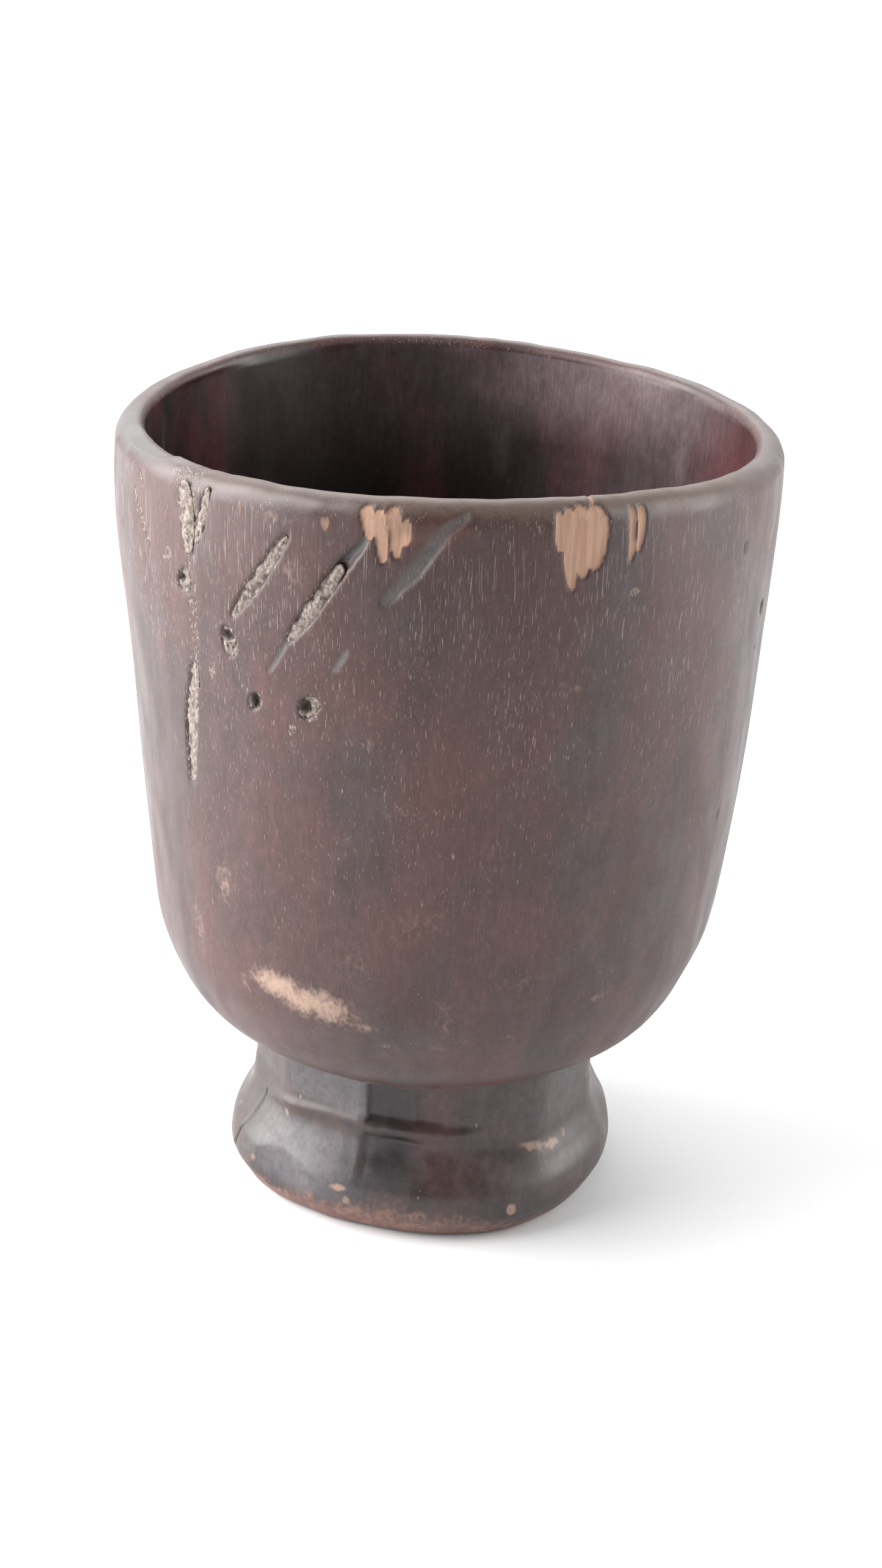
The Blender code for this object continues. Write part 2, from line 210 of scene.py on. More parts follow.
def smooth_between(table, at):
    """The table's second column at these heights, on a smooth curve that never overshoots."""
    heights, values = (np.array(column) for column in zip(*table))
    at = np.clip(at, heights[0], heights[-1])
    slopes = np.diff(values) / np.diff(heights)
    product = slopes[:-1] * slopes[1:]
    total = slopes[:-1] + slopes[1:]
    safe = np.where(product > 0, total, 1.0)
    inner = np.where(product > 0, 2 * product / safe, 0.0)
    tangents = np.concatenate([slopes[:1], inner, slopes[-1:]])
    i = np.clip(np.searchsorted(heights, at, side="right") - 1, 0, len(heights) - 2)
    span = heights[i + 1] - heights[i]
    t = (at - heights[i]) / span
    return (
        (2 * t**3 - 3 * t**2 + 1) * values[i]
        + (t**3 - 2 * t**2 + t) * span * tangents[i]
        + (3 * t**2 - 2 * t**3) * values[i + 1]
        + (t**3 - t**2) * span * tangents[i + 1]
    )


def hashed(cell, seed):
    """A number from 0 to 1 for each whole-numbered cell."""
    mixed = cell[..., 0] * 374761393 + cell[..., 1] * 668265263 + cell[..., 2] * 2147483647
    mixed = mixed + seed * 1274126177
    mixed = (mixed ^ (mixed >> 13)) * 1103515245
    mixed = mixed ^ (mixed >> 16)
    return (mixed & 0xFFFFF) / float(0xFFFFF)


def noise(points, size, seed, octaves=1):
    """Smooth noise from -1 to 1, with lumps of this size (one number, or one for each axis)."""
    total, weight, reach = 0.0, 1.0, 0.0
    at = points / np.array(size, float)
    for octave in range(octaves):
        low = np.floor(at).astype(np.int64)
        part = at - low
        part = part * part * part * (part * (part * 6 - 15) + 10)
        value = 0.0
        for corner in np.ndindex(2, 2, 2):
            share = np.prod(np.where(corner, part, 1 - part), axis=-1)
            value = value + share * hashed(low + np.array(corner), seed + 17 * octave)
        total = total + weight * (2 * value - 1)
        reach += weight
        weight *= 0.5
        at = at * 2.03
    return total / reach


def clip01(values):
    """The values held between 0 and 1."""
    return np.clip(values, 0, 1)


def step(low, high, at):
    """0 below low, 1 above high, smooth between them."""
    t = clip01((at - low) / (high - low))
    return t * t * (3 - 2 * t)


def band(rise_from, rise_to, fall_from, fall_to, at):
    """1 between the two inner values, 0 beyond the outer ones, smooth between them."""
    return step(rise_from, rise_to, at) * (1 - step(fall_from, fall_to, at))


def bell(away, wide):
    """1 in the middle, falling off smoothly over this width."""
    return np.exp(-((away / wide) ** 2))


def angle_from(angle, middle):
    """Degrees from middle to angle, the short way round."""
    return (angle - middle + 180.0) % 360.0 - 180.0


def along_path(path, angle, height):
    """(share of the way along, signed distance in mm) of each place from a path on the skin."""
    points = np.array([(math.radians(angle_from(a, path[0][0])) * MEAN_RADIUS, h) for a, h in path])
    here = np.stack([np.radians(angle_from(angle, path[0][0])) * MEAN_RADIUS, height], axis=-1)
    lengths = np.linalg.norm(np.diff(points, axis=0), axis=1)
    nearest = np.full(angle.shape, 1e9)
    share = np.zeros(angle.shape)
    side = np.zeros(angle.shape)
    for i, length in enumerate(lengths):
        along = (points[i + 1] - points[i]) / length
        offset = here - points[i]
        t = offset @ along
        first, last = i == 0, i == len(lengths) - 1
        clipped = np.clip(t, -1e3 if first else 0.0, 1e3 if last else length)
        across = np.linalg.norm(offset - clipped[..., None] * along, axis=-1)
        closer = across < nearest
        nearest = np.where(closer, across, nearest)
        share = np.where(closer, (lengths[:i].sum() + t) / lengths.sum(), share)
        turn = along[0] * offset[..., 1] - along[1] * offset[..., 0]
        side = np.where(closer, np.sign(turn), side)
    return share, nearest * side


def spot(angle, height, at_angle, at_height, half_wide, half_high, tilt=0.0, radius=MEAN_RADIUS):
    """0 at the middle of an oval spot and 1 at its edge."""
    x = np.radians(angle_from(angle, at_angle)) * radius
    y = height - at_height
    turn = math.radians(tilt)
    across = x * math.cos(turn) + y * math.sin(turn)
    up = y * math.cos(turn) - x * math.sin(turn)
    return np.sqrt((across / half_wide) ** 2 + (up / half_high) ** 2)


def spots(table, angle, height, limit, gain=1.0, wobble=0.0, radius=MEAN_RADIUS):
    """The strongest of a table's spots at each place, each fading out towards this limit."""
    most = np.zeros(angle.shape)
    for a, h, wide, high, strength, *tilt in table:
        v = spot(angle, height, a, h, wide, high, *tilt, radius=radius) * (1 + wobble)
        most = np.maximum(most, strength * clip01(gain * (limit - v)))
    return most


# ---- the cup's shape


def bowl_points(angle, height, radius):
    """Points of the bowl in mm for these angles (degrees), heights and nominal radii."""
    turn = np.radians(angle)
    share = height / TOP
    uneven = (0.3 + 0.7 * share) * (
        OVAL * np.cos(2 * (turn - OVAL_TURN)) + SWING * np.cos(3 * (turn - SWING_TURN))
    )
    for middle, level, wide, high, amount in SWELLS:
        away = (angle_from(angle, middle) / wide) ** 2 + ((height - level) / high) ** 2
        uneven = uneven + amount * np.exp(-away)
    reach = radius + uneven * np.minimum(1.0, radius / SKIN[0][1])
    rise = np.maximum(0.0, (height - WAVE_START) / (TOP - WAVE_START))
    wave = -RIM_WAVE * np.cos(2 * turn) * rise**2
    for middle, wide, amount in RIM_LIFTS:
        wave = wave + amount * bell(angle_from(angle, middle), wide) * rise**2
    return np.stack(
        [LEAN_X * share + reach * np.cos(turn), LEAN_Y * share + reach * np.sin(turn), height + wave], axis=-1
    )


def groove_cut(path, width, depth, angle, height, wobble):
    """(depth in mm, share of the groove's own width) at each place."""
    share, across = along_path(path, angle, height)
    ends = clip01(share * (1 - share) * 4) ** 0.35 * ((share > 0) & (share < 1))
    half = width / 2 * ends * (1 + 0.22 * wobble) + 1e-6
    v = np.abs(across) / half
    return depth * clip01(1 - v**2.2) * ends, v


def chip_cut(path, width, depth, angle, height, wobble):
    """(depth in mm, 1 inside and 0 outside) of a gouged chip."""
    share, across = along_path(path, angle, height)
    wide = np.interp(share, [0, 1], width)
    ends = clip01(1 - clip01(np.abs(2 * share - 1)) ** 5) ** 0.5
    half = wide / 2 * ends * (1 + 0.16 * wobble) + 1e-6
    inside = clip01(1.9 * (1 - (np.abs(across) / half) ** 2)) * (np.abs(2 * share - 1) < 1)
    return depth * inside, inside


def outer_carving(angle, height, place):
    """(inward depth in mm, masks) of everything cut into or lying on the bowl's skin."""
    fine = noise(place, (0.5, 0.5, 0.9), 3, 2)
    wobble = noise(place, 0.8, 4, 2)
    depth = np.zeros(angle.shape)
    crust = np.zeros(angle.shape)
    bare = np.zeros(angle.shape)
    polish_and_sheen = np.zeros(angle.shape)
    dark = np.zeros(angle.shape)

    for name, (path, width, deep) in GROOVES.items():
        cut, v = groove_cut(path, width, deep, angle, height, wobble)
        depth = np.maximum(depth, cut)
        halo = clip01(1.5 - v)
        if name in ("groove_far_left", "groove_far_left_top", "scratch_low"):
            crust = np.maximum(crust, 0.85 * halo)
        elif name in ("groove_right", "groove_right_tail", "groove_long_tail"):
            # Painted blue-grey sheen in the empty groove, on wood that is also smoother.
            polish_and_sheen = np.maximum(polish_and_sheen, clip01(1.25 - v))
            crust = np.maximum(crust, 0.34 * clip01(1.2 - v))
        else:
            share, _ = along_path(path, angle, height)
            filled = step(0.16, 0.34, share) if name == "groove_long" else 1.0
            crust = np.maximum(crust, 0.85 * halo * filled)
            # Painted sheen where the long groove is empty.
            polish_and_sheen = np.maximum(polish_and_sheen, clip01(1.25 - v) * (1 - filled))
            # Painted shade down in the filled groove's cut.
            dark = np.maximum(dark, 0.2 * clip01(cut / deep * 1.5) * filled)

    for at, (wide, high), tilt, deep, _ in PITS.values():
        v = spot(angle, height, *at, wide / 2, high / 2, tilt) * (1 + 0.18 * wobble)
        cut = deep * clip01(1 - v**3)
        depth = np.maximum(depth, cut)
        crust = np.maximum(crust, 0.8 * clip01(1.6 - v))
        # Painted shade in the pit.
        dark = np.maximum(dark, clip01(cut * 2))

    threads = noise(place, (0.32, 0.32, 1.6), 7, 2)
    for (path, width, deep), strength in ((CRACK_UPPER, 0.86), (CRACK_STREAK, 0.56)):
        share, across = along_path(path, angle, height)
        half = np.interp(share, [0, 1], width) / 2 * (1 + 0.2 * wobble)
        near = clip01(1.25 * (1 - (across / half) ** 2))
        near = near * band(-0.05, 0.03, 0.95, 1.08, share)
        crust = np.maximum(crust, strength * near**0.6 * (0.86 + 0.14 * threads))
        depth = np.maximum(depth, near * deep * (0.6 + 0.5 * fine + 0.4 * threads))
    cut, v = groove_cut(*CRACK_LOWER, angle, height, wobble * 1.6)
    depth = np.maximum(depth, cut)
    crust = np.maximum(crust, 0.8 * clip01(1.4 - v))
    for slit in CRACK_SLITS:
        cut, v = groove_cut(*slit, angle, height, wobble)
        depth = np.maximum(depth, cut)
        # Painted shade in the slits.
        dark = np.maximum(dark, clip01(1.5 - v))

    ridges = noise(place, (0.55, 0.55, 9.0), 9)
    for chip in CHIPS:
        cut, inside = chip_cut(*chip, angle, height, wobble)
        depth = np.maximum(depth, cut * (1 + 0.08 * ridges))
        bare = np.maximum(bare, inside)
        crust = crust * (1 - inside)
    bare = np.maximum(bare, spots(BARE_SPOTS, angle, height, 1.15, 1.5, 0.25 * wobble))
    rub = spots(RUBS, angle, height, 1.35, 1.0, 0.3 * wobble)
    crust = np.maximum(crust, spots(PALE_SPOTS, angle, height, 1.6))
    for a, h, wide, high in DARK_NICKS:
        v = spot(angle, height, a, h, wide, high) * (1 + 0.3 * wobble)
        depth = np.maximum(depth, 0.7 * clip01(1 - v))
        dark = np.maximum(dark, clip01(1.4 - v))
    smear = spot(angle, height, -91.0, 117.6, 6.5, 1.7) * (1 + 0.4 * wobble)
    dark = np.maximum(dark, 0.48 * clip01(1.4 - smear))
    # Painted shade over the front below the rim, kept off crust and bared wood.
    below_rim_shade = spot(angle, height, -88.0, 107.0, 19.0, 15.0) * (1 + 0.2 * wobble)
    dark = np.maximum(dark, 0.30 * clip01(1.5 - below_rim_shade) * (1 - np.maximum(bare, crust)))
    red = np.zeros(angle.shape)
    for a, h, wide, high, strength in RED_SPOTS:
        v = spot(angle, height, a, h, wide, high)
        red = np.maximum(red, strength * clip01(1 - v * v))
    return depth, dict(crust=crust, bare=bare, polish_and_sheen=polish_and_sheen, dark=dark, red=red, rub=rub)


def hand_cut(place, seed, amount):
    """The soft unevenness that a knife and years of use leave, in mm."""
    broad = noise(place, (17.0, 17.0, 34.0), seed, 2)
    small = noise(place, (5.0, 5.0, 13.0), seed + 1, 2)
    return amount * (0.75 * broad + 0.25 * small)


def columns():
    """The angles of the bowl's columns."""
    parts = []
    for low, high, wide in COLUMN_BANDS:
        parts.append(np.linspace(low, high, round((high - low) / wide), endpoint=False))
    return np.concatenate(parts)


def bowl_rows():
    """(height, radius, kind) of each row: under the bowl, up the skin, over the rim, down the hollow."""
    rows = [(UNDER_BOWL, radius, "under") for radius in (8.0, 16.0, 23.0, 28.0, 31.0, 32.4)]
    rows += [(UNDER_BOWL + 0.12, 32.85, "skin"), (UNDER_BOWL + 0.4, 33.35, "skin")]
    lower = np.linspace(30.5, 88.0, 60, endpoint=False)
    upper = np.linspace(88.0, RIM_START, 77)
    rows += [(h, float(smooth_between(SKIN, h)), "skin") for h in np.concatenate([lower, upper])]
    outside, inside = (SKIN[-1][1], RIM_START), (HOLLOW[-1][1], RIM_INNER_HEIGHT)
    crest = math.pi / 2
    for turn in np.concatenate([np.linspace(0, crest, 11)[1:], np.linspace(crest, math.pi, 8)[1:-1]]):
        edge, start = outside if turn < crest else inside
        radius = RIM_CREST_RADIUS + abs(math.cos(turn)) * (edge - RIM_CREST_RADIUS)
        rows.append((start + math.sin(turn) * (TOP - start), radius, "rim"))
    corner = 38.0 + 14.0 * np.linspace(1.0, 0.0, 13) ** 2
    inner = np.concatenate(
        [np.linspace(RIM_INNER_HEIGHT, 112.0, 9)[:-1], np.linspace(112.0, 52.0, 18)[:-1], corner]
    )
    rows += [(h, float(smooth_between(HOLLOW, h)), "hollow") for h in inner]
    rows += [(37.6 - 0.25 * i, radius, "hollow") for i, radius in enumerate((20.0, 16.0, 11.0, 6.0, 2.5))]
    return rows


def closed_grid(name, rings, attributes):
    """A closed mesh through rings of points in mm, with a point at the middle of each end."""
    count, wide = rings.shape[:2]
    ends = np.stack([rings[0].mean(axis=0), rings[-1].mean(axis=0)])
    points = np.concatenate([rings.reshape(-1, 3), ends]) * MM
    i, j = np.meshgrid(np.arange(count - 1), np.arange(wide), indexing="ij")
    after = (j + 1) % wide
    quads = np.stack([i * wide + j, i * wide + after, (i + 1) * wide + after, (i + 1) * wide + j], axis=-1)
    around = np.arange(wide)
    low, high = count * wide, count * wide + 1
    last = (count - 1) * wide
    fan_low = np.stack([(around + 1) % wide, around, np.full(wide, low)], axis=-1)
    fan_high = np.stack([last + around, last + (around + 1) % wide, np.full(wide, high)], axis=-1)
    faces = quads.reshape(-1, 4).tolist() + fan_low.tolist() + fan_high.tolist()
    mesh = bpy.data.meshes.new(name)
    mesh.from_pydata(points.tolist(), [], faces)
    for label, values in attributes.items():
        flat = np.concatenate([values.reshape(-1), [values[0].mean(), values[-1].mean()]])
        layer = mesh.attributes.new(label, "FLOAT", "POINT")
        layer.data.foreach_set("value", flat.astype(np.float32))
    mesh.shade_smooth()
    made = bpy.data.objects.new(name, mesh)
    bpy.context.scene.collection.objects.link(made)
    return made


def profile_normals(rings, turn):
    """(outward, up) parts of the surface's normal at each point, from the rows before and after."""
    outward = np.stack([np.cos(turn), np.sin(turn)], axis=-1)
    reach = (rings[..., :2] * outward).sum(axis=-1)
    run = np.gradient(reach, axis=0)
    rise = np.gradient(rings[..., 2], axis=0)
    length = np.sqrt(run**2 + rise**2) + 1e-9
    return rise / length, -run / length, outward


def make_bowl():
    """The bowl's closed mesh, carved and worn, and the masks of its colours."""
    rows = bowl_rows()
    kinds = np.array([kind for _, _, kind in rows])
    angle, height = np.meshgrid(columns(), [row[0] for row in rows])
    radius = np.broadcast_to(np.array([row[1] for row in rows])[:, None], angle.shape)
    rings = bowl_points(angle, height, radius)
    n_out, n_up, outward = profile_normals(rings, np.radians(angle))

    skin = np.isin(kinds, ("skin", "rim"))[:, None] * np.ones(angle.shape)
    hollow = (kinds == "hollow")[:, None] * np.ones(angle.shape)
    crest = int(np.argmax([row[0] for row in rows]))
    outside = (np.arange(len(rows)) <= crest + 2)[:, None] * skin
    depth, masks = outer_carving(angle, height, rings)
    push = -depth * outside
    push += hand_cut(rings, 21, 0.18) * outside * band(30.0, 34.0, 114.0, 119.5, height)
    push += hand_cut(rings, 31, 0.30) * hollow * step(37.0, 42.0, height)
    push += bell(height - TOP, 2.2) * skin * (0.16 * noise(rings, 5.0, 41, 2) - 0.03)
    ragged = bell(height - UNDER_BOWL, 0.9) * skin * band(-112, -104, -72, -62, angle)
    push += ragged * (0.45 * noise(rings, (2.6, 2.6, 9.0), 51, 2) + 0.15)

    rings = rings + push[..., None] * np.concatenate([outward * n_out[..., None], n_up[..., None]], axis=-1)
    # The rim's flat on the left: a ceiling that rises out of the way on both sides of it.
    flat = band(-175, -162, -148, -134, angle)
    ceiling = TOP - 0.55 - RIM_WAVE * np.cos(2 * np.radians(angle)) + 2.0 * (1 - flat)
    on_rim = (kinds == "rim")[:, None] & (flat > 0)
    rings[..., 2] = np.where(on_rim, np.minimum(rings[..., 2], ceiling), rings[..., 2])
    rings[..., 2] = np.maximum(rings[..., 2], UNDER_BOWL)

    upwards = step(TOP - 2.4, TOP - 0.8, height + 0.5 * noise(rings, 3.0, 61))
    outer_rim = skin * step(43.9, 44.6, radius) * upwards
    front_right = band(-112, -98, -36, -22, angle)
    back = 0.6 * band(48, 70, 128, 150, angle)
    worn = outer_rim * np.maximum(np.maximum(front_right, back), 0.12 + 0.2 * noise(rings, 12.0, 62))
    # Painted sheen on the hollow's inner wall.
    hollow_sheen = spots(HOLLOW_SHEEN_SPOTS, angle, height, 1.5)
    left_top = band(-200, -170, -150, -132, angle) + step(172, 180, angle)
    front_left = band(-140, -130, -112, -98, angle)
    worn = np.maximum(worn, 0.55 * outer_rim * front_left)
    plain = (1 - front_right) * (1 - 0.8 * front_left)
    # Painted sheen along the rim's top, strongest on the left where the light falls.
    masks["polish_and_sheen"] = np.maximum(masks["polish_and_sheen"], outer_rim * plain * (0.5 + 0.5 * left_top))
    lip_wear = (1 - step(29.9, 31.2, height)) * band(-160, -140, -50, -30, angle)
    masks["rub"] = np.maximum(masks["rub"], lip_wear * (0.40 + 0.35 * noise(rings, 2.0, 63, 2)))
    masks = {key: value * outside for key, value in masks.items()}
    masks["worn"] = clip01(worn)
    masks["inside"] = hollow
    masks["hollow_sheen"] = hollow_sheen * hollow
    flush = clip01(1.4 - spot(angle, height, 14.0, 108.0, 16.0, 12.0))
    masks["red"] = np.maximum(masks["red"], 0.8 * flush * hollow)
    return closed_grid("bowl_skin", rings, masks)


def make_filling(name, groove, start, end, sunk):
    """The pale, crusty filling of a groove, as one closed strip that fills its cut from wall to wall."""
    path, width, depth = groove
    path = np.array(path, float)
    mm_a_degree = math.radians(1) * MEAN_RADIUS
    lengths = np.linalg.norm(np.diff(path * np.array([mm_a_degree, 1.0]), axis=0), axis=1)
    knots = np.concatenate([[0], np.cumsum(lengths)]) / lengths.sum()
    rows = max(24, int(lengths.sum() * (end - start) / 0.2))
    share = np.linspace(start, end, rows)
    a = np.interp(share, knots, path[:, 0])
    h = np.interp(share, knots, path[:, 1])
    da, dh = np.gradient(a) * mm_a_degree, np.gradient(h)
    length = np.hypot(da, dh)
    cross_a = -dh / length / mm_a_degree
    cross_h = da / length
    inner = np.linspace(0, 1, rows)
    ends = clip01(inner * (1 - inner) * 4) ** 0.4
    middle = np.stack([a * mm_a_degree, h, np.zeros(rows)], axis=-1)
    half = width / 2 * ends * (1.10 + 0.22 * noise(middle, 0.9, 73, 2)) + 0.02
    v = np.linspace(-1, 1, 15)
    top_a = a[:, None] + cross_a[:, None] * half[:, None] * v
    top_h = h[:, None] + cross_h[:, None] * half[:, None] * v
    place = bowl_points(top_a, top_h, smooth_between(SKIN, top_h))
    grain = noise(place, (0.42, 0.42, 0.6), 71, 2)
    lump = noise(place, 1.1, 72, 2)
    level = -sunk + (0.18 * grain + 0.26 * lump) * ends[:, None]
    level = level - (0.10 + depth * 0.18) * clip01(-v) ** 1.5 - 0.08 * clip01(v) ** 2
    bottom = -(depth + 0.35) * (1 - 0.3 * v**2) * (0.4 + 0.6 * ends[:, None])
    level = np.maximum(level, bottom + 0.12)
    skin = smooth_between(SKIN, top_h)
    upper = bowl_points(top_a, top_h, skin + level)
    lower = bowl_points(top_a, top_h, skin + bottom)
    rings = np.concatenate([upper, lower[:, ::-1]], axis=1)
    # Painted shade in the hollows between lumps and along the strip's edges against the groove walls.
    cavity_shade = 0.7 * step(0.22, 0.5, -lump) + 0.30 * step(0.6, 1.0, np.abs(v) + 0.3 * grain)
    cavity_shade = clip01(cavity_shade)
    masks = {"cavity_shade": np.concatenate([cavity_shade, np.ones_like(cavity_shade)], axis=1)}
    return closed_grid(name, rings, masks)


def make_plug(name, at, size, tilt, depth, hole):
    """The crusty filling of a pit, with its hole, painted dark as shade."""
    turns = np.linspace(0, 2 * math.pi, 48, endpoint=False)
    radii = np.linspace(0.04, 1.14, 16)
    tilt = math.radians(tilt)
    grid_r, grid_t = np.meshgrid(radii, turns, indexing="ij")
    across = grid_r * np.cos(grid_t) * size[0] / 2
    up = grid_r * np.sin(grid_t) * size[1] / 2
    x = across * math.cos(tilt) - up * math.sin(tilt)
    y = across * math.sin(tilt) + up * math.cos(tilt)
    angle = at[0] + np.degrees(x / MEAN_RADIUS)
    height = at[1] + y
    skin = smooth_between(SKIN, height)
    place = bowl_points(angle, height, skin)
    grain = noise(place, 0.45, 81, 2)
    hole_x, hole_y, hole_wide, hole_high = hole
    away = np.hypot((x - hole_x) / hole_wide, (y - hole_y) / hole_high)
    dark = clip01(1.7 - 1.1 * away * (1 + 0.35 * noise(place, 0.9, 82, 2)))
    lump = noise(place, 1.0, 83, 2)
    level = -0.22 + 0.24 * grain + 0.30 * lump - 0.75 * dark - 0.15 * step(0.8, 1.1, grid_r)
    bottom = -(depth + 0.45) * np.ones_like(level)
    level = np.maximum(level, bottom + 0.15)
    upper = bowl_points(angle, height, skin + level)
    lower = bowl_points(angle, height, skin + bottom)
    rings = np.concatenate([upper, lower[::-1]])
    # Painted shade in the hole, the hollows between lumps and along the edge.
    cavity_shade = clip01(dark * 1.4) + 0.8 * step(0.25, 0.55, -lump)
    cavity_shade = clip01(cavity_shade + 0.6 * step(0.7, 1.05, grid_r + 0.2 * grain))
    masks = {"cavity_shade": np.concatenate([cavity_shade, np.ones_like(cavity_shade)])}
    return closed_grid(name, rings, masks)


def foot_reach(turn, height):
    """The foot's radius in mm: rounded corners below, knife-cut facets with a ridge and a step above."""
    angle = np.degrees(turn)
    facets = np.interp(height, *zip(*FACETS_SHOWN))
    width = 2 * math.pi / FOOT_FACETS
    flat = 0.0
    for soften in (-3.0, -1.2, 1.2, 3.0):
        across = (turn + math.radians(soften) - FACET_TURN) % width - width / 2
        flat = flat + 0.25 * math.cos(width / 2) / np.cos(across)
    reach = smooth_between(FOOT_SKIN, height) * (1 - facets + facets * flat)
    reach += FOOT_CORNERS * np.cos(4 * (turn - FOOT_CORNER_TURN)) * (1 - facets)
    reach += FOOT_SWING * np.cos(3 * (turn - FOOT_SWING_TURN))

    above = height - np.interp(angle, *zip(*NECK_RIDGE))
    for amount, start, wide, soft, low, high in NECK_STEPS:
        past = (angle - start) / wide
        reach -= amount * step(-soft, soft, past) * clip01(1 - past) * step(low, high, above)
    reach += 0.42 * bell(above, 0.95) * band(-156, -144, -94, -78, angle)
    # The dark scoop under the ridge, cut in hardest just below it, and the long facet left of it.
    under = band(-110.5, -107.5, -97, -84, angle) * step(8.0, 12.0, height)
    reach -= 0.75 * under * (1 - step(-2.6, -1.0, above))
    reach -= 0.12 * bell(above + 2.2, 0.55) * band(-104, -101, -90, -87, angle)
    aside = np.clip(turn - math.radians(LONG_FACET), -1.2, 1.2)
    long_facet = LONG_FACET_RADIUS / np.cos(aside) - LONG_FACET_FLARE * (height - LONG_FACET_HEIGHT)
    facing = (np.abs(angle_from(angle, LONG_FACET)) < LONG_FACET_HALF) & (height > 3.0)
    soft = 0.35
    low = np.minimum(reach, long_facet) - soft * np.exp(-np.abs(reach - long_facet) / soft) * 0.3
    return np.where(facing, np.maximum(low, reach - 0.9), reach)


def make_foot():
    """The foot's closed mesh and the masks of its wear."""
    levels = np.concatenate([np.linspace(0.15, 5.0, 16), np.linspace(5.3, 29.44, 80)])
    angle, height = np.meshgrid(np.linspace(-180, 180, 720, endpoint=False), levels)
    turn = np.radians(angle)
    reach = foot_reach(turn, height)
    place = np.stack([reach * np.cos(turn), reach * np.sin(turn), height], axis=-1)
    reach += hand_cut(place, 91, 0.28) * step(0.5, 4.0, height)
    reach += bell(height, 2.6) * (0.30 * noise(place, 6.0, 92, 2) - 0.10)

    # A thin crack on the left, running down the flare, painted dark as shade.
    crack_angle = -154.0 - 0.55 * (14.0 - height) + 0.5 * noise(place, (9.0, 9.0, 2.2), 93)
    crack = bell(angle_from(angle, crack_angle), 0.4) * band(3.6, 5.0, 14.5, 16.0, height)
    reach -= 0.4 * crack
    rings = np.stack(
        [FOOT_SHIFT[0] + reach * np.cos(turn), FOOT_SHIFT[1] + reach * np.sin(turn), height], axis=-1
    )

    wobble = noise(rings, (1.6, 1.6, 1.2), 94, 2)
    bare = spots(FOOT_SPOTS, angle, height, 1.15, 1.4, 0.3 * wobble, FOOT_RADIUS)
    wear_top = np.interp(angle, (-175, -150, -140, -108, -78, -62, -30), (2.4, 4.6, 3.4, 6.6, 5.8, 3.2, 1.2))
    rubbed = 1 - step(0.3, 1.35, (height + 0.9 * wobble) / wear_top)
    red = bell(angle_from(angle, -86), 9.0) * step(6, 12, height)
    # Painted sheen on the long facet and on the upper facets left and right, where they catch the light.
    painted_sheen = bell(angle_from(angle, LONG_FACET), 18.0) * band(3, 6, 14, 16, height)
    upper_left = band(-142, -134, -109, -107.5, angle) * band(18.2, 19.4, 25, 28, height)
    upper_right = bell(angle_from(angle, -32), 22.0) * band(13, 17, 23, 27, height)
    painted_sheen = np.maximum(painted_sheen, np.maximum(0.9 * upper_left, 0.5 * upper_right))
    # Painted shade in the scoop under the ridge and on the neck facet under the bowl's overhang.
    painted_foot_shade = bell(angle_from(angle, -98), 9.0) * band(6, 10, 15, 18, height)
    neck_shade = band(-108.4, -107.6, -100, -84, angle) * step(17.5, 19.0, height)
    painted_foot_shade = np.maximum(painted_foot_shade, neck_shade) * (1 + 0.3 * wobble)
    centre = np.array([*FOOT_SHIFT, 0.0])
    around = np.stack([np.cos(turn[0]), np.sin(turn[0]), 0 * turn[0]], axis=-1)
    base = np.stack([centre + r * around for r in (8.0, 16.0, 21.0, 24.0)])
    lift = np.array([0.0, 0.0, levels[-1]])
    top = np.stack([centre + lift + r * around for r in (23.0, 18.0, 13.0, 7.0)])
    masks = dict(bare=bare, worn=rubbed, dark=crack, red=red, painted_sheen=painted_sheen, painted_foot_shade=painted_foot_shade)
    nothing = np.zeros((4, angle.shape[1]))
    masks = {key: np.concatenate([nothing, value, nothing]) for key, value in masks.items()}
    return closed_grid("foot_skin", np.concatenate([base, rings, top]), masks)


# ---- materials


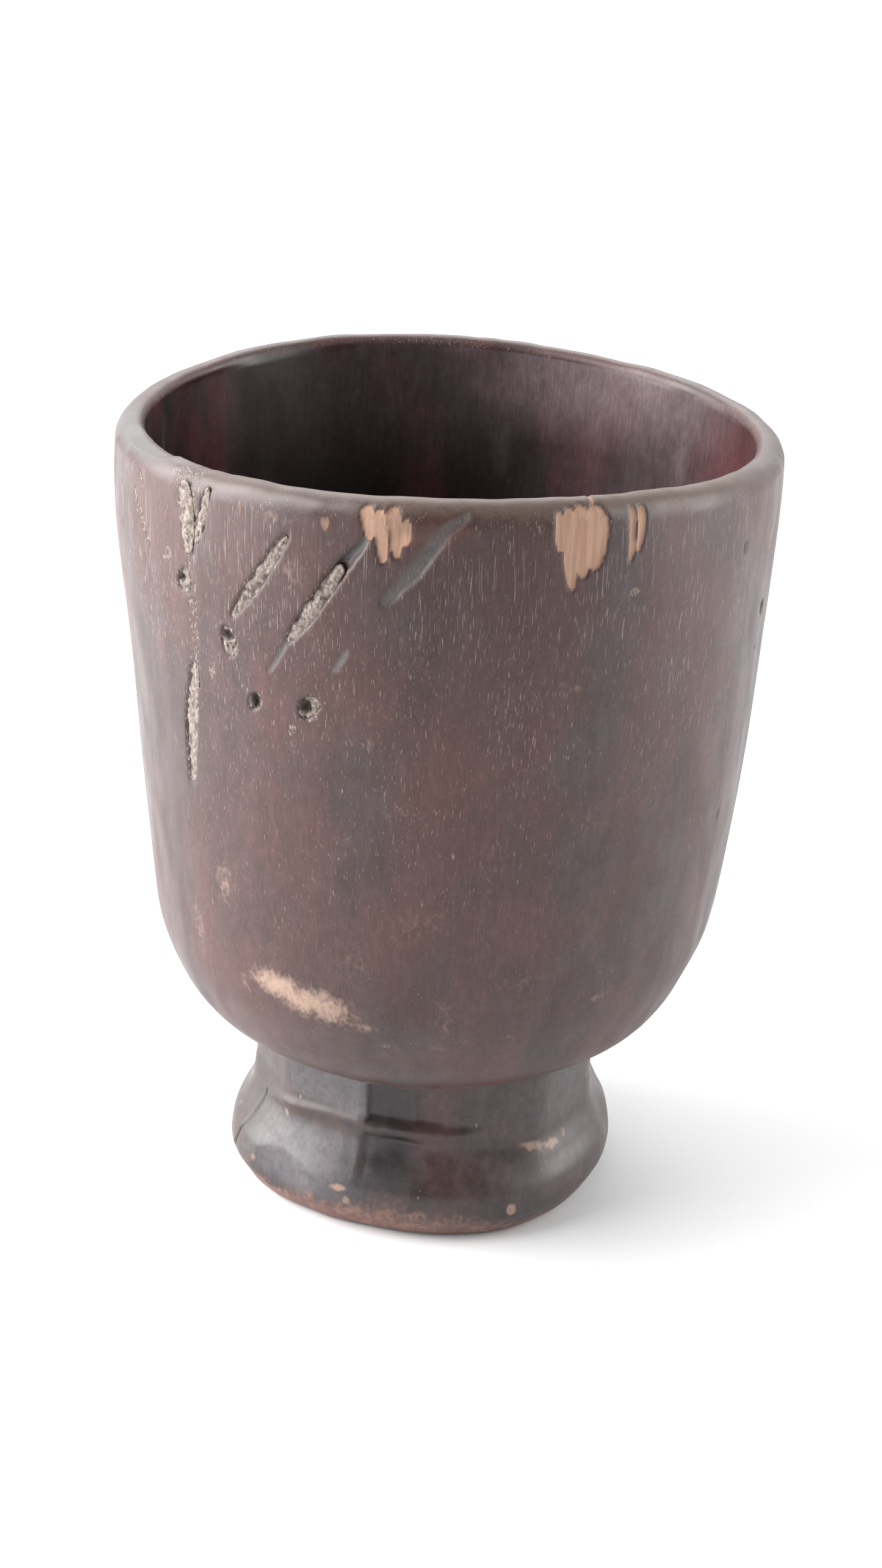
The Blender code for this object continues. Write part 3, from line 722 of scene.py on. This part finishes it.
class Graph:
    """Short names for the shader nodes that the materials are made of."""

    def __init__(self, name):
        self.material = bpy.data.materials.new(name)
        self.material.use_nodes = True
        self.tree = self.material.node_tree
        self.shader = self.tree.nodes["Principled BSDF"]
        self.place = self.add("ShaderNodeTexCoord").outputs["Object"]

    def add(self, kind, **settings):
        node = self.tree.nodes.new(kind)
        for key, value in settings.items():
            setattr(node, key, value)
        return node

    def feed(self, socket, value):
        if hasattr(value, "links"):
            self.tree.links.new(value, socket)
        else:
            socket.default_value = value

    def mask(self, name):
        return self.add("ShaderNodeAttribute", attribute_name=name).outputs["Fac"]

    def stretched(self, scale):
        node = self.add("ShaderNodeMapping")
        self.feed(node.inputs["Vector"], self.place)
        self.feed(node.inputs["Scale"], scale)
        return node.outputs["Vector"]

    def noise(self, scale, detail=2.0, rough=0.5, twist=0.0):
        """Noise whose lumps are 1/scale of a millimetre wide along each axis."""
        node = self.add("ShaderNodeTexNoise")
        self.feed(node.inputs["Vector"], self.stretched([1000 * s for s in scale]))
        self.feed(node.inputs["Scale"], 1.0)
        self.feed(node.inputs["Detail"], detail)
        self.feed(node.inputs["Roughness"], rough)
        self.feed(node.inputs["Distortion"], twist)
        return node.outputs["Fac"]

    def maths(self, operation, a, b=0.0, clamp=False):
        node = self.add("ShaderNodeMath", operation=operation, use_clamp=clamp)
        self.feed(node.inputs[0], a)
        self.feed(node.inputs[1], b)
        return node.outputs[0]

    def times(self, a, b):
        return self.maths("MULTIPLY", a, b)

    def plus(self, a, b, clamp=False):
        return self.maths("ADD", a, b, clamp)

    def ramp(self, value, low, high, start=0.0, end=1.0):
        node = self.add("ShaderNodeMapRange", interpolation_type="SMOOTHSTEP")
        for socket, number in zip(node.inputs[:5], (value, low, high, start, end)):
            self.feed(socket, number)
        return node.outputs[0]

    def mix(self, share, a, b, blend="MIX"):
        node = self.add("ShaderNodeMix", data_type="RGBA", blend_type=blend)
        self.feed(node.inputs[0], share)
        self.feed(node.inputs[6], a)
        self.feed(node.inputs[7], b)
        return node.outputs[2]

    def shade(self, share, colour, shade):
        """The colour, multiplied with the shade by this share."""
        return self.mix(share, colour, self.mix(1.0, colour, shade, "MULTIPLY"))

    def finished(self, colour, rough, normal=None):
        """The material, with these on its shader."""
        self.feed(self.shader.inputs["Base Color"], colour)
        self.feed(self.shader.inputs["Roughness"], rough)
        if normal:
            self.feed(self.shader.inputs["Normal"], normal)
        return self.material

    def bump(self, height, distance, strength=1.0, before=None):
        node = self.add("ShaderNodeBump")
        self.feed(node.inputs["Height"], height)
        self.feed(node.inputs["Distance"], distance * MM)
        self.feed(node.inputs["Strength"], strength)
        if before:
            self.feed(node.inputs["Normal"], before)
        return node.outputs["Normal"]


def srgb(red, green, blue):
    """A colour given in 0 to 255 screen values, as the shader's linear one."""
    channels = [c / 255 for c in (red, green, blue)]
    return [c / 12.92 if c <= 0.04045 else ((c + 0.055) / 1.055) ** 2.4 for c in channels] + [1.0]


DARK_WOOD = srgb(64, 48, 46)
RED_WOOD = srgb(96, 57, 52)
GREY_WOOD = srgb(73, 60, 60)
HOLLOW_WOOD = srgb(40, 30, 31)
HOLLOW_RED = srgb(74, 42, 44)
HOLLOW_GREY = srgb(74, 66, 68)
HOLLOW_PAINTED_SHEEN = srgb(126, 110, 113)
HOLLOW_FLUSH = srgb(98, 52, 54)
PORE = srgb(176, 160, 154)
TAN_WOOD = srgb(163, 131, 111)
TAN_FURROW_SHADE = srgb(150, 117, 97)
TAN_EDGE_SHADE = srgb(112, 80, 66)
RUBBED_WOOD = srgb(160, 134, 118)
OLIVE_WEAR = srgb(84, 69, 60)
CRUST_PALE = srgb(142, 131, 123)
CRUST_DIRTY = srgb(98, 86, 80)
CRUST_BROWN = srgb(116, 100, 90)
CRUST_SPECK = srgb(60, 48, 42)
CRUST_HOLE_SHADE = srgb(44, 34, 31)
DARK_SHADE_AND_STAIN = srgb(30, 22, 20)
STREAK = srgb(54, 43, 44)
MOTTLE = srgb(112, 88, 82)
GROOVE_PAINTED_SHEEN = srgb(108, 108, 108)
FOOT_DARK = srgb(43, 38, 39)
FOOT_BROWN = srgb(66, 52, 50)
FOOT_GREY = srgb(76, 62, 59)
FOOT_STREAK = srgb(58, 54, 56)
FOOT_RED = srgb(74, 44, 44)
FOOT_PAINTED_SHEEN = srgb(104, 102, 106)
FOOT_PAINTED_SHADE = srgb(34, 33, 36)
FOOT_WORN_RED = srgb(128, 92, 84)
FOOT_WORN_TAN = srgb(158, 122, 106)
FOOT_BARE = srgb(166, 138, 120)
FOOT_SPECK = srgb(150, 134, 126)
# Shades that the wood's colour is multiplied with.
BOWL_MOTTLE_SHADE = srgb(176, 170, 170)
FOOT_MOTTLE_SHADE = srgb(176, 172, 172)
FIBRE_SHADE = srgb(190, 186, 186)


def make_bowl_wood():
    """Dark carved wood; the masks bring in the hollow and its painted sheen, rubs, wear, bared wood, crust,
    painted sheen on the rim and in empty grooves, and slits and cuts painted dark as shade.
    """
    g = Graph("carved_bowl_wood")
    broad = g.noise((0.07, 0.07, 0.03), 4.0, 0.55)
    cloud = g.noise((0.22, 0.22, 0.12), 4.0, 0.6)
    streaks = g.noise((0.6, 0.6, 0.02), 3.0, 0.6)
    fibre = g.noise((4.0, 4.0, 0.12), 2.0, 0.6, 0.2)
    red = g.times(g.ramp(broad, 0.36, 0.64), 0.52)
    flush = g.times(g.mask("red"), g.ramp(cloud, 0.3, 0.65, 0.35, 1.0))
    red = g.plus(red, flush, clamp=True)
    colour = g.mix(g.ramp(cloud, 0.35, 0.65), DARK_WOOD, GREY_WOOD)
    colour = g.mix(g.ramp(streaks, 0.35, 0.65, 0.0, 0.35), colour, STREAK)
    colour = g.mix(g.times(red, 0.85), colour, RED_WOOD)
    inner = g.mix(g.ramp(broad, 0.50, 0.70), HOLLOW_WOOD, HOLLOW_RED)
    smudge = g.ramp(g.noise((0.16, 0.16, 0.035), 2.0, 0.5), 0.60, 0.74, 0.0, 0.6)
    inner = g.mix(smudge, inner, HOLLOW_GREY)
    inner = g.mix(g.times(g.mask("red"), 0.7), inner, HOLLOW_FLUSH)
    # Painted sheen where the hollow's wall catches the light.
    hollow_sheen = g.times(g.mask("hollow_sheen"), g.ramp(cloud, 0.3, 0.7, 0.55, 0.85))
    inner = g.mix(hollow_sheen, inner, HOLLOW_PAINTED_SHEEN)
    colour = g.mix(g.mask("inside"), colour, inner)
    mottle = g.noise((1.1, 1.1, 0.55), 5.0, 0.7)
    colour = g.shade(g.ramp(mottle, 0.34, 0.66, 0.0, 0.5), colour, BOWL_MOTTLE_SHADE)
    colour = g.mix(g.ramp(mottle, 0.55, 0.72, 0.0, 0.22), colour, MOTTLE)
    colour = g.shade(g.ramp(fibre, 0.35, 0.7, 0.0, 0.45), colour, FIBRE_SHADE)

    # Hairlines and specks of pale dust in the pores, more of them towards the rim.
    z = g.add("ShaderNodeSeparateXYZ")
    g.feed(z.inputs[0], g.place)
    upper = g.ramp(z.outputs["Z"], 0.045, 0.112, -0.03, 0.05)
    patches = g.times(g.ramp(g.noise((0.09, 0.09, 0.05), 2.0), 0.3, 0.7), 0.05)
    lift = g.plus(upper, patches)
    long_hairs = g.plus(g.noise((6.5, 6.5, 0.13), 1.0, 0.4), g.times(lift, 1.1))
    short_hairs = g.plus(g.noise((7.5, 7.5, 0.40), 1.0, 0.4), lift)
    hairs = g.maths("MAXIMUM", short_hairs, long_hairs)
    specks = g.plus(g.noise((5.0, 5.0, 2.4), 1.0, 0.4), g.times(lift, 0.8))
    pores = g.maths("MAXIMUM", g.ramp(hairs, 0.762, 0.810), g.ramp(specks, 0.80, 0.845))
    pores = g.times(pores, g.maths("SUBTRACT", 1.0, g.mask("inside")))
    colour = g.mix(g.times(pores, 0.38), colour, PORE)

    # Rubbed places, the worn rim, bared tan wood, and a painted blue-grey sheen in the empty grooves and
    # along the rim's top.
    dust = g.noise((1.3, 1.3, 1.0), 5.0, 0.62)
    rubbed = g.plus(g.mask("rub"), g.ramp(dust, 0.3, 0.7, -0.28, 0.16))
    rubbed = g.ramp(rubbed, 0.05, 1.10, 0.0, 0.95)
    colour = g.mix(rubbed, colour, RUBBED_WOOD)
    wear_grain = g.noise((0.9, 0.9, 0.5), 3.0, 0.6)
    worn = g.times(g.mask("worn"), g.ramp(wear_grain, 0.25, 0.6, 0.35, 0.95))
    colour = g.mix(worn, colour, OLIVE_WEAR)
    colour = g.mix(g.times(g.mask("polish_and_sheen"), 0.55), colour, GROOVE_PAINTED_SHEEN)
    # Painted shade on the bared chips: darker in the low furrows and along the edges of each stroke.
    furrows = g.noise((1.1, 1.1, 0.09), 2.0, 0.6)
    tan = g.mix(g.ramp(furrows, 0.40, 0.62), TAN_FURROW_SHADE, TAN_WOOD)
    tan = g.mix(g.ramp(g.mask("bare"), 0.45, 0.98, 0.75, 0.0), tan, TAN_EDGE_SHADE)
    ragged = g.plus(g.mask("bare"), g.ramp(g.noise((1.8, 1.8, 0.5), 3.0), 0.3, 0.7, -0.22, 0.22))
    is_bare = g.times(g.ramp(ragged, 0.30, 0.52), g.ramp(g.mask("bare"), 0.02, 0.9, 0.35, 1.0))
    colour = g.mix(is_bare, colour, tan)

    # Granular pale deposit.
    grains = g.noise((3.4, 3.4, 1.6), 3.0, 0.65)
    amount = g.plus(g.mask("crust"), g.ramp(grains, 0.32, 0.68, -0.62, 0.30))
    is_crust = g.ramp(amount, 0.42, 0.60)
    colour = g.mix(is_crust, colour, g.mix(g.ramp(grains, 0.45, 0.7), CRUST_DIRTY, CRUST_PALE))
    # Painted shade in cuts, pits and slits and below the front rim, with the dark knots, nicks and smear.
    colour = g.mix(g.times(g.mask("dark"), 0.85), colour, DARK_SHADE_AND_STAIN)
    g.feed(g.shader.inputs["Specular IOR Level"], 0.42)

    rough = g.ramp(g.noise((0.2, 0.2, 0.08), 3.0), 0.3, 0.7, 0.36, 0.48)
    rough = g.maths("SUBTRACT", rough, g.times(g.mask("inside"), 0.04))
    dull = g.maths("MAXIMUM", g.maths("MAXIMUM", is_crust, is_bare), g.times(rubbed, 0.6))
    rough = g.plus(rough, g.times(dull, 0.35))
    rough = g.maths("SUBTRACT", rough, g.times(g.mask("polish_and_sheen"), 0.08))
    normal = g.bump(fibre, 0.03, 0.35)
    normal = g.bump(g.times(pores, -1.0), 0.04, 0.5, normal)
    normal = g.bump(g.times(is_crust, grains), 0.30, 0.8, normal)
    normal = g.bump(g.times(is_bare, furrows), 0.14, 0.6, normal)
    return g.finished(colour, rough, normal)


def make_foot_wood():
    """The foot's darker wood, with its rubbed edge and bared spots, a painted bluish sheen on facets that
    face the light, and painted shade in the scoop and under the bowl.
    """
    g = Graph("carved_foot_wood")
    broad = g.noise((0.07, 0.07, 0.05), 3.0)
    cloud = g.noise((0.3, 0.3, 0.2), 4.0, 0.6)
    streaks = g.noise((0.6, 0.6, 0.04), 3.0, 0.6)
    colour = g.mix(g.ramp(broad, 0.35, 0.65), FOOT_DARK, FOOT_BROWN)
    colour = g.mix(g.ramp(cloud, 0.38, 0.66, 0.0, 0.7), colour, FOOT_GREY)
    colour = g.mix(g.ramp(streaks, 0.45, 0.7, 0.0, 0.4), colour, FOOT_STREAK)
    colour = g.mix(g.times(g.mask("red"), 0.6), colour, FOOT_RED)
    # Painted bluish sheen on the facets that face the light.
    colour = g.mix(g.times(g.mask("painted_sheen"), 0.55), colour, FOOT_PAINTED_SHEEN)
    # Painted shade in the scoop and under the bowl.
    painted_foot_shade = g.times(g.mask("painted_foot_shade"), g.ramp(cloud, 0.3, 0.7, 0.45, 0.8))
    colour = g.mix(painted_foot_shade, colour, FOOT_PAINTED_SHADE)
    wear_grain = g.noise((0.9, 0.9, 0.7), 4.0, 0.65)
    worn = g.plus(g.mask("worn"), g.ramp(wear_grain, 0.3, 0.7, -0.36, 0.22))
    worn = g.ramp(worn, 0.10, 1.10, 0.0, 0.85)
    worn_wood = g.mix(g.ramp(wear_grain, 0.45, 0.62), FOOT_WORN_RED, FOOT_WORN_TAN)
    colour = g.mix(worn, colour, worn_wood)
    ragged = g.plus(g.mask("bare"), g.ramp(wear_grain, 0.3, 0.7, -0.3, 0.25))
    colour = g.mix(g.ramp(ragged, 0.20, 0.95, 0.0, 0.85), colour, FOOT_BARE)
    specks = g.ramp(g.noise((2.6, 2.6, 1.8), 1.0), 0.77, 0.81, 0.0, 0.4)
    colour = g.mix(specks, colour, FOOT_SPECK)
    # The crack, painted dark as shade.
    colour = g.mix(g.mask("dark"), colour, DARK_SHADE_AND_STAIN)
    mottle = g.noise((0.9, 0.9, 0.7), 5.0, 0.7)
    colour = g.shade(g.ramp(mottle, 0.34, 0.66, 0.0, 0.6), colour, FOOT_MOTTLE_SHADE)
    rough = g.plus(g.ramp(cloud, 0.3, 0.7, 0.32, 0.50), g.times(worn, 0.3))
    normal = g.bump(g.noise((2.0, 2.0, 0.15), 2.0), 0.04, 0.4)
    normal = g.bump(g.times(worn, wear_grain), 0.15, 0.5, normal)
    return g.finished(colour, rough, normal)


def make_crust():
    """The pale, granular filling of grooves and pits, with painted shade in its cavities and along its edges.
    """
    g = Graph("pale_crust")
    grains = g.noise((2.2, 2.2, 1.8), 4.0, 0.6)
    lumps = g.noise((1.0, 1.0, 0.8), 2.0)
    colour = g.mix(g.ramp(grains, 0.36, 0.64), CRUST_DIRTY, CRUST_PALE)
    colour = g.mix(g.ramp(lumps, 0.50, 0.7, 0.0, 0.7), colour, CRUST_BROWN)
    colour = g.mix(g.ramp(g.noise((2.6, 2.6, 2.0), 1.0), 0.64, 0.70, 0.0, 0.8), colour, CRUST_SPECK)
    # Painted shade in the cavities.
    colour = g.mix(g.times(g.mask("cavity_shade"), 0.9), colour, CRUST_HOLE_SHADE)
    return g.finished(colour, 0.8, g.bump(grains, 0.22, 0.9))


def dress(piece, looks, slot, *nodes):
    """Gives a piece its material and its body and hides the CAD nodes that it replaces; the slot is not used.
    """
    piece.data.materials.append(looks)
    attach(piece, "root")
    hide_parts(*nodes)


# ---- floor, light and camera

FLOOR_WHITE = [0.67, 0.67, 0.675, 1.0]
# Lights: name, place, the point it faces, size and watts. The backdrop light lies over the far floor;
# its aim is a hair off straight down, which keeps its long side along X.
LIGHTS = (
    ("left_softbox", (-0.75, -0.06, 0.38), (0, 0, 0.07), (0.9, 0.9), 22.5),
    ("window", (-0.72, -0.12, 0.74), (0.02, 0.02, 0.10), (0.6, 0.6), 5.5),
    ("right_softbox", (0.85, 0.0, 0.34), (0, 0, 0.07), (0.7, 0.7), 8.5),
    ("backdrop_softbox", (0.0, 1.85, 0.95), (0.0, 1.85001, 0.0), (3.2, 1.7), 22.0),
    ("top_softbox", (-0.1, 0.6, 0.95), (0, 0, 0.0), (0.8, 0.8), 5.5),
)
# The world's light fades from dim in front (-Y) to full behind: from Y, to Y, and its strength there.
WORLD_FADE = (-0.8, 0.2, 0.16, 1.0)
CAMERA_PLACE = (-0.00014, -0.33022, 0.20616)
CAMERA_DOWN = math.radians(23.458)
CAMERA_ROLL = math.radians(2.707)
LENS_MM, SENSOR_MM = 54.65, 36.0


def make_stage():
    bpy.ops.mesh.primitive_plane_add(size=6.0, location=(0.0, 0.0, 0.0))
    floor = bpy.context.object
    floor.name = "floor"
    floor.data.materials.append(Graph("white_table").finished(FLOOR_WHITE, 0.7))


def make_light(name, place, aim, size, watts):
    data = bpy.data.lights.new(name, "AREA")
    data.shape = "RECTANGLE"
    data.size, data.size_y = size
    data.energy = watts
    light = bpy.data.objects.new(name, data)
    bpy.context.scene.collection.objects.link(light)
    away = Matrix.Translation(place).translation - Matrix.Translation(aim).translation
    light.matrix_world = Matrix.Translation(place) @ away.to_track_quat("Z", "Y").to_matrix().to_4x4()


def make_lights():
    world = bpy.data.worlds.new("studio")
    world.use_nodes = True
    tree = world.node_tree
    direction = tree.nodes.new("ShaderNodeTexCoord").outputs["Generated"]
    split = tree.nodes.new("ShaderNodeSeparateXYZ")
    tree.links.new(direction, split.inputs[0])
    fade = tree.nodes.new("ShaderNodeMapRange")
    for socket, number in zip(fade.inputs[1:5], WORLD_FADE):
        socket.default_value = number
    tree.links.new(split.outputs["Y"], fade.inputs[0])
    background = tree.nodes["Background"]
    background.inputs["Color"].default_value = (1.0, 1.0, 1.0, 1.0)
    tree.links.new(fade.outputs[0], background.inputs["Strength"])
    bpy.context.scene.world = world
    for light in LIGHTS:
        make_light(*light)


def make_camera():
    data = bpy.data.cameras.new("camera")
    data.lens = LENS_MM
    data.sensor_width = SENSOR_MM
    data.clip_start = 0.01
    camera = bpy.data.objects.new("camera", data)
    bpy.context.scene.collection.objects.link(camera)
    camera.matrix_world = (
        Matrix.Translation(CAMERA_PLACE)
        @ Matrix.Rotation(math.pi / 2 - CAMERA_DOWN, 4, "X")
        @ Matrix.Rotation(CAMERA_ROLL, 4, "Z")
    )
    bpy.context.scene.camera = camera


def main():
    dress(make_bowl(), make_bowl_wood(), "bowl_wood", "bowl")
    dress(make_foot(), make_foot_wood(), "foot_wood", "foot")
    crust = make_crust()
    for name, spec in FILLINGS.items():
        dress(make_filling(name.replace("filling", "crust"), *spec), crust, "pale_filling", name)
    for name, pit in PITS.items():
        dress(make_plug(name + "_crust", *pit), crust, "pale_filling", name + "_filling")
    for name, spec in CRACK_FILLINGS.items():
        dress(make_filling(name.replace("filling", "crust"), *spec), crust, "pale_filling", name)
    make_stage()
    make_lights()
    make_camera()
    settings = bpy.context.scene.view_settings
    settings.view_transform = "Standard"
    settings.look = "None"
    bpy.context.scene.cycles.use_denoising = True


main()
